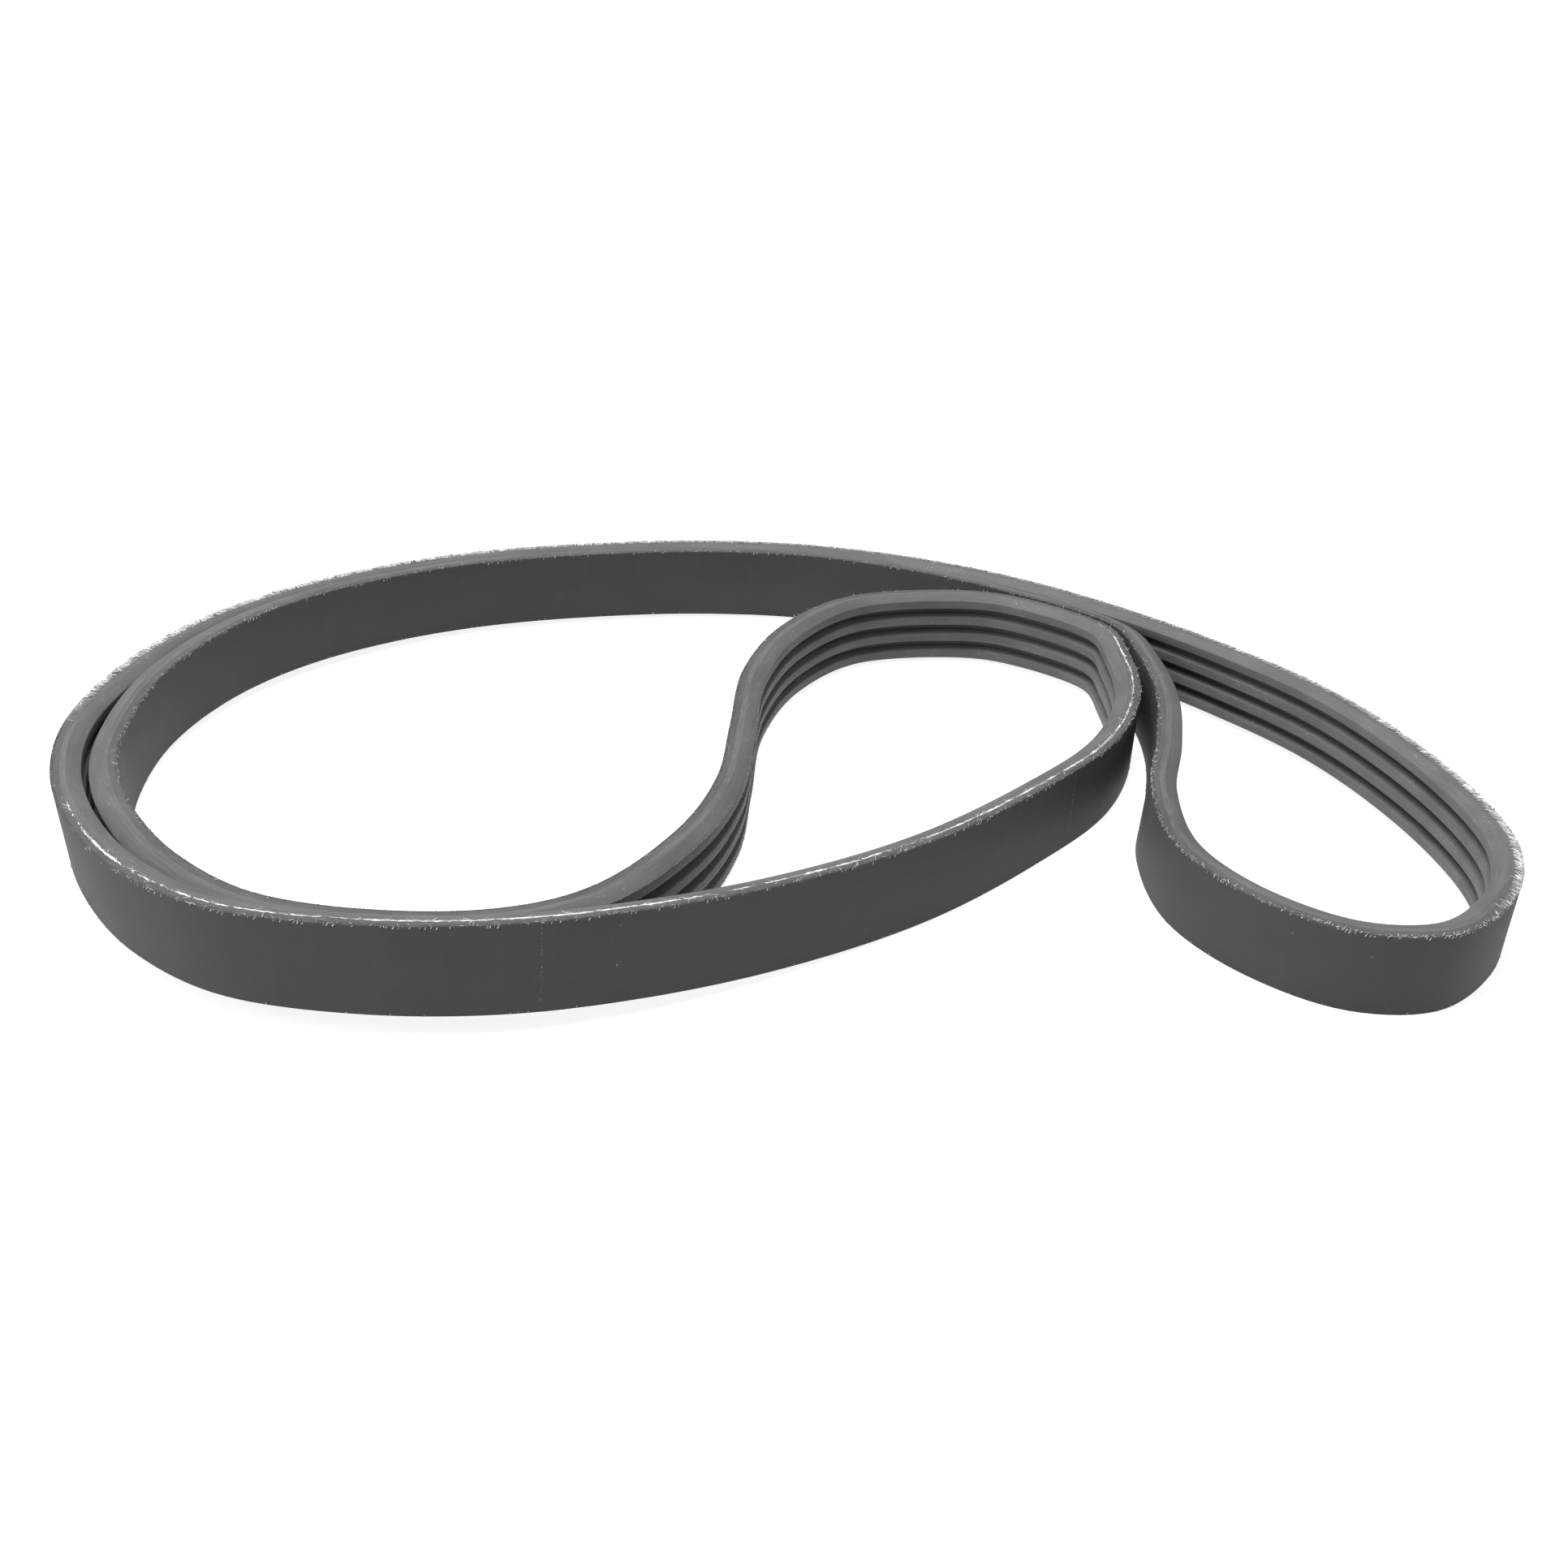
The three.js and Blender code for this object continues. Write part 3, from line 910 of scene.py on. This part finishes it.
# ---------------------------------------------------------------------------
# Frayed threads
# ---------------------------------------------------------------------------
def thread_end(bend):
    """A short thread along X, one long and one wide, tapered and bent upwards."""
    bm = bmesh.new()
    bmesh.ops.create_cone(bm, cap_ends=True, segments=4, radius1=0.5, radius2=0.28, depth=1,
                          matrix=Matrix.Translation((0.5, 0, 0))
                          @ Matrix.Rotation(math.pi / 2, 4, "Y"))
    long_edges = [e for e in bm.edges if abs(e.verts[0].co.x - e.verts[1].co.x) > 0.5]
    bmesh.ops.subdivide_edges(bm, edges=long_edges, cuts=2, use_grid_fill=True)
    for v in bm.verts:
        v.co.z += bend * v.co.x ** 2
    mesh = bpy.data.meshes.new("thread_end")
    bm.to_mesh(mesh)
    bm.free()
    return mesh


def scatter(template, places):
    """One bmesh of many copies of a small shape, each with its own matrix."""
    bm = bmesh.new()
    for matrix in places:
        copy = template.copy()
        copy.transform(matrix)
        bm.from_mesh(copy)
        bpy.data.meshes.remove(copy)
    bpy.data.meshes.remove(template)
    return bm


def thread_size(chance, limits):
    """A random length and width between these limits."""
    shortest, longest, thinnest, thickest = limits
    return chance.uniform(shortest, longest) * MM, chance.uniform(thinnest, thickest) * MM


def thread_matrix(place, heading, rise, roll, length, width):
    """Where a thread end goes: its foot, its direction in the straight belt and its size."""
    return (Matrix.Translation(place)
            @ Euler((roll, -rise, heading), "XYZ").to_matrix().to_4x4()
            @ Matrix.Diagonal((length, width, width, 1)))


class BELT_OT_cord_fuzz(BeltStep):
    """Broken filaments that stand off the bare cord on the upper cut edge"""

    bl_idname = "belt.cord_fuzz"
    bl_label = "Cord filaments"

    def execute(self, context):
        lay = belt_lay()
        chance = random.Random(7)
        amount = lay.strength(CORD_FUZZ)
        places = []
        distance = 0
        while distance < lay.length:
            distance += chance.uniform(0.15, 0.75) * MM
            if chance.random() > amount(distance) * 0.75:
                continue
            foot = Vector((distance, lay.cord_line + chance.gauss(0, 0.13) * MM,
                           lay.width - 0.02 * MM))
            places.append(thread_matrix(
                foot, chance.gauss(0, 0.35) + chance.choice((0, math.pi)),
                abs(chance.gauss(0.12, 0.12)), chance.uniform(0, 6),
                *thread_size(chance, CORD_FILAMENT)))
        bm = scatter(thread_end(0.1), places)
        lay_down(bm, closed=False)
        piece(bm, "cord_filaments", frayed_thread(self.colours, "cord_filament", 1.1),
              [], crease=60)
        return {"FINISHED"}


class BELT_OT_cover_threads(BeltStep):
    """Cut thread ends and fringe of the woven cover along both edges of the back"""

    bl_idname = "belt.cover_threads"
    bl_label = "Cover threads"

    def ticks(self, lay, chance, amount, upper):
        """Short stubs of weft, in little groups, that lie slanted over the edge."""
        edge = lay.width if upper else 0
        out = 1 if upper else -1
        distance = 0
        while distance < lay.length:
            distance += chance.uniform(0.4, 0.9) * MM
            grouped = 0.35 + 0.9 * max(0, noise.noise(Vector((distance / (5 * MM), out, 3))) + 0.2)
            if chance.random() > amount(distance) * grouped:
                continue
            long = chance.uniform(0.2, 0.5) * MM
            foot = Vector((distance, chance.uniform(-0.04, 0.03) * MM,
                           edge - out * (long * 0.9 + chance.uniform(0, 0.12) * MM)))
            yield thread_matrix(foot, chance.gauss(0, 0.15), out * chance.uniform(0.95, 1.35),
                                chance.uniform(0, 6), long, chance.uniform(0.1, 0.2) * MM)

    def fringe(self, lay, chance, amount):
        """Fine fibres that stand up from the upper edge of the cover."""
        distance = 0
        while distance < lay.length:
            distance += chance.uniform(0.06, 0.26) * MM
            if chance.random() > amount(distance):
                continue
            foot = Vector((distance, chance.uniform(0, 0.35) * MM, lay.width - 0.03 * MM))
            yield thread_matrix(foot, chance.uniform(0, 6.28), chance.uniform(0.15, 1.1),
                                chance.uniform(0, 6), *thread_size(chance, FRINGE_FIBRE))

    def over_edge(self, lay, chance, amount):
        """Longer thread ends that were dragged aslant over the upper cut edge."""
        distance = 0
        while distance < lay.length:
            distance += chance.uniform(0.1, 0.32) * MM
            if chance.random() > amount(distance):
                continue
            foot = Vector((distance, chance.uniform(-0.1, 0.6) * MM, lay.width + 0.05 * MM))
            yield thread_matrix(foot, chance.gauss(1.2, 0.3), chance.uniform(0, 0.14),
                                chance.uniform(0, 6), *thread_size(chance, EDGE_THREAD))

    def execute(self, context):
        lay = belt_lay()
        chance = random.Random(19)
        upper = list(self.ticks(lay, chance, lay.strength(COVER_TICKS), upper=True))
        lower = list(self.ticks(lay, chance, lambda distance: 0.22, upper=False))
        for name, places, bend, paleness in (
            ("cover_thread_ends", upper, 0.15, 0.85),
            ("lower_thread_ends", lower, 0.1, 0.7),
            ("cover_fringe", list(self.fringe(lay, chance, lay.strength(COVER_FRINGE))), 0.4, 1.0),
            ("edge_threads", list(self.over_edge(lay, chance, lay.strength(EDGE_THREADS))), 0.02,
             1.25),
        ):
            bm = scatter(thread_end(bend), places)
            lay_down(bm, closed=False)
            piece(bm, name, frayed_thread(self.colours, name, paleness), [],
                  crease=60)
        return {"FINISHED"}


class BELT_OT_rib_fibres(BeltStep):
    """Chopped fibres that the grinding tore out along the rib crests"""

    bl_idname = "belt.rib_fibres"
    bl_label = "Rib fibres"

    def execute(self, context):
        sizes, lay = self.sizes, belt_lay()
        chance = random.Random(29)
        amount = lay.strength(RIB_FIBRES)
        places = []
        for rib in range(sizes.rib_count):
            for side in (-1, 1):
                height = (rib + 0.5) * sizes.rib_pitch + side * sizes.rib_crest / 2
                distance = 0
                while distance < lay.length:
                    distance += chance.uniform(0.4, 1) * MM
                    if chance.random() > amount(distance):
                        continue
                    foot = Vector((distance, lay.thickness - 0.1 * MM, height))
                    places.append(thread_matrix(
                        foot, math.pi / 2 + chance.gauss(0, 0.5), side * chance.uniform(0.3, 0.9),
                        chance.uniform(0, 6), *thread_size(chance, CREST_FIBRE)))
        bm = scatter(thread_end(0.1), places)
        lay_down(bm, closed=False)
        piece(bm, "rib_crest_fibres", frayed_thread(self.colours, "rib_fibre", 0.6),
              [], crease=60)
        return {"FINISHED"}


class BELT_OT_cover_joins(BeltStep):
    """Rows of small knots where two lengths of the woven cover were joined"""

    bl_idname = "belt.cover_joins"
    bl_label = "Cover joins"

    def execute(self, context):
        lay = belt_lay()
        chance = random.Random(5)
        places = []
        for number in COVER_JOINS:
            distance = float(lay.distance_of(number))
            height = 0.6 * MM
            while height < lay.width - 0.3 * MM:
                if chance.random() < 0.75:
                    foot = Vector((distance + chance.gauss(0, 0.05) * MM, 0.01 * MM, height))
                    places.append(thread_matrix(foot, 0, 1.57, 0,
                                                chance.uniform(0.15, 0.4) * MM, 0.1 * MM))
                height += chance.uniform(0.55, 0.8) * MM
        bm = scatter(thread_end(0), places)
        lay_down(bm, closed=False)
        piece(bm, "cover_join_knots", frayed_thread(self.colours, "join_knot", 0.5),
              [], crease=60)
        return {"FINISHED"}


# ---------------------------------------------------------------------------
# Stage
# ---------------------------------------------------------------------------
class BELT_OT_stage(BeltStep):
    """Pale bench, soft lights and the camera"""

    bl_idname = "belt.stage"
    bl_label = "Bench, lights and camera"

    def soft_light(self, name, place, size, power):
        """A square softbox that faces the belt."""
        light = bpy.data.lights.new(name, "AREA")
        light.size = size
        light.energy = power
        box = bpy.data.objects.new(name, light)
        bpy.context.scene.collection.objects.link(box)
        box.location = place
        box.rotation_euler = (-Vector(place)).to_track_quat("-Z", "Y").to_euler()

    def execute(self, context):
        bm = bmesh.new()
        bmesh.ops.create_circle(bm, cap_ends=True, segments=96, radius=BENCH_RADIUS)
        bmesh.ops.translate(bm, verts=bm.verts, vec=(0, 0, CAD_BOX[0].z - 0.02 * MM))
        mesh = bpy.data.meshes.new("bench")
        bm.to_mesh(mesh)
        bm.free()
        mesh.materials.append(bench_top(self.colours))
        bench = bpy.data.objects.new("bench", mesh)
        bpy.context.scene.collection.objects.link(bench)

        world = bpy.data.worlds.new("studio")
        world.use_nodes = True
        background = world.node_tree.nodes["Background"]
        background.inputs["Color"].default_value = (1, 1, 1, 1)
        background.inputs["Strength"].default_value = WORLD_LIGHT
        bpy.context.scene.world = world
        bpy.context.scene.view_settings.view_transform = "Standard"
        for name, place, size, power in SOFTBOXES:
            self.soft_light(name, place, size, power)

        camera = bpy.data.cameras.new("camera")
        camera.lens = CAMERA_LENS
        camera.sensor_width = SENSOR_WIDTH
        camera.clip_start = 0.01
        viewer = bpy.data.objects.new("camera", camera)
        bpy.context.scene.collection.objects.link(viewer)
        back = Vector((0, -math.cos(CAMERA_ELEVATION), math.sin(CAMERA_ELEVATION)))
        place = Vector(belt_lay().origin) + back * CAMERA_DISTANCE
        turn = Matrix.Rotation(math.pi / 2 - CAMERA_ELEVATION, 4, "X")
        viewer.matrix_world = (Matrix.Translation(place) @ turn
                               @ Matrix.Rotation(-CAMERA_ROLL, 4, "Z"))
        bpy.context.scene.camera = viewer
        return {"FINISHED"}


class BELT_PT_panel(bpy.types.Panel):
    """Sizes, colours and steps of the belt"""

    bl_idname = "BELT_PT_panel"
    bl_label = "V-ribbed belt"
    bl_space_type = "VIEW_3D"
    bl_region_type = "UI"
    bl_category = "Belt"

    def draw(self, context):
        for group in (context.scene.belt_sizes, context.scene.belt_colours):
            box = self.layout.box()
            for name in type(group).__annotations__:
                box.prop(group, name)
        for operator in OPERATORS:
            self.layout.operator(operator.bl_idname)


OPERATORS = (
    BELT_OT_stage, BELT_OT_cover, BELT_OT_backing, BELT_OT_cushion, BELT_OT_ribs,
    BELT_OT_cords, BELT_OT_cord_fuzz, BELT_OT_cover_threads, BELT_OT_rib_fibres,
    BELT_OT_cover_joins,
)
CLASSES = (BeltSizes, BeltColours, *OPERATORS, BELT_PT_panel)


def register():
    """Adds the classes, and the belt's settings to the scene."""
    for cls in CLASSES:
        bpy.utils.register_class(cls)
    bpy.types.Scene.belt_sizes = bpy.props.PointerProperty(type=BeltSizes)
    bpy.types.Scene.belt_colours = bpy.props.PointerProperty(type=BeltColours)


def unregister():
    """Takes them away again."""
    del bpy.types.Scene.belt_colours
    del bpy.types.Scene.belt_sizes
    for cls in reversed(CLASSES):
        bpy.utils.unregister_class(cls)


def main():
    register()
    for operator in OPERATORS:
        group, name = operator.bl_idname.split(".")
        getattr(getattr(bpy.ops, group), name)()


if __name__ == "__main__":
    main()
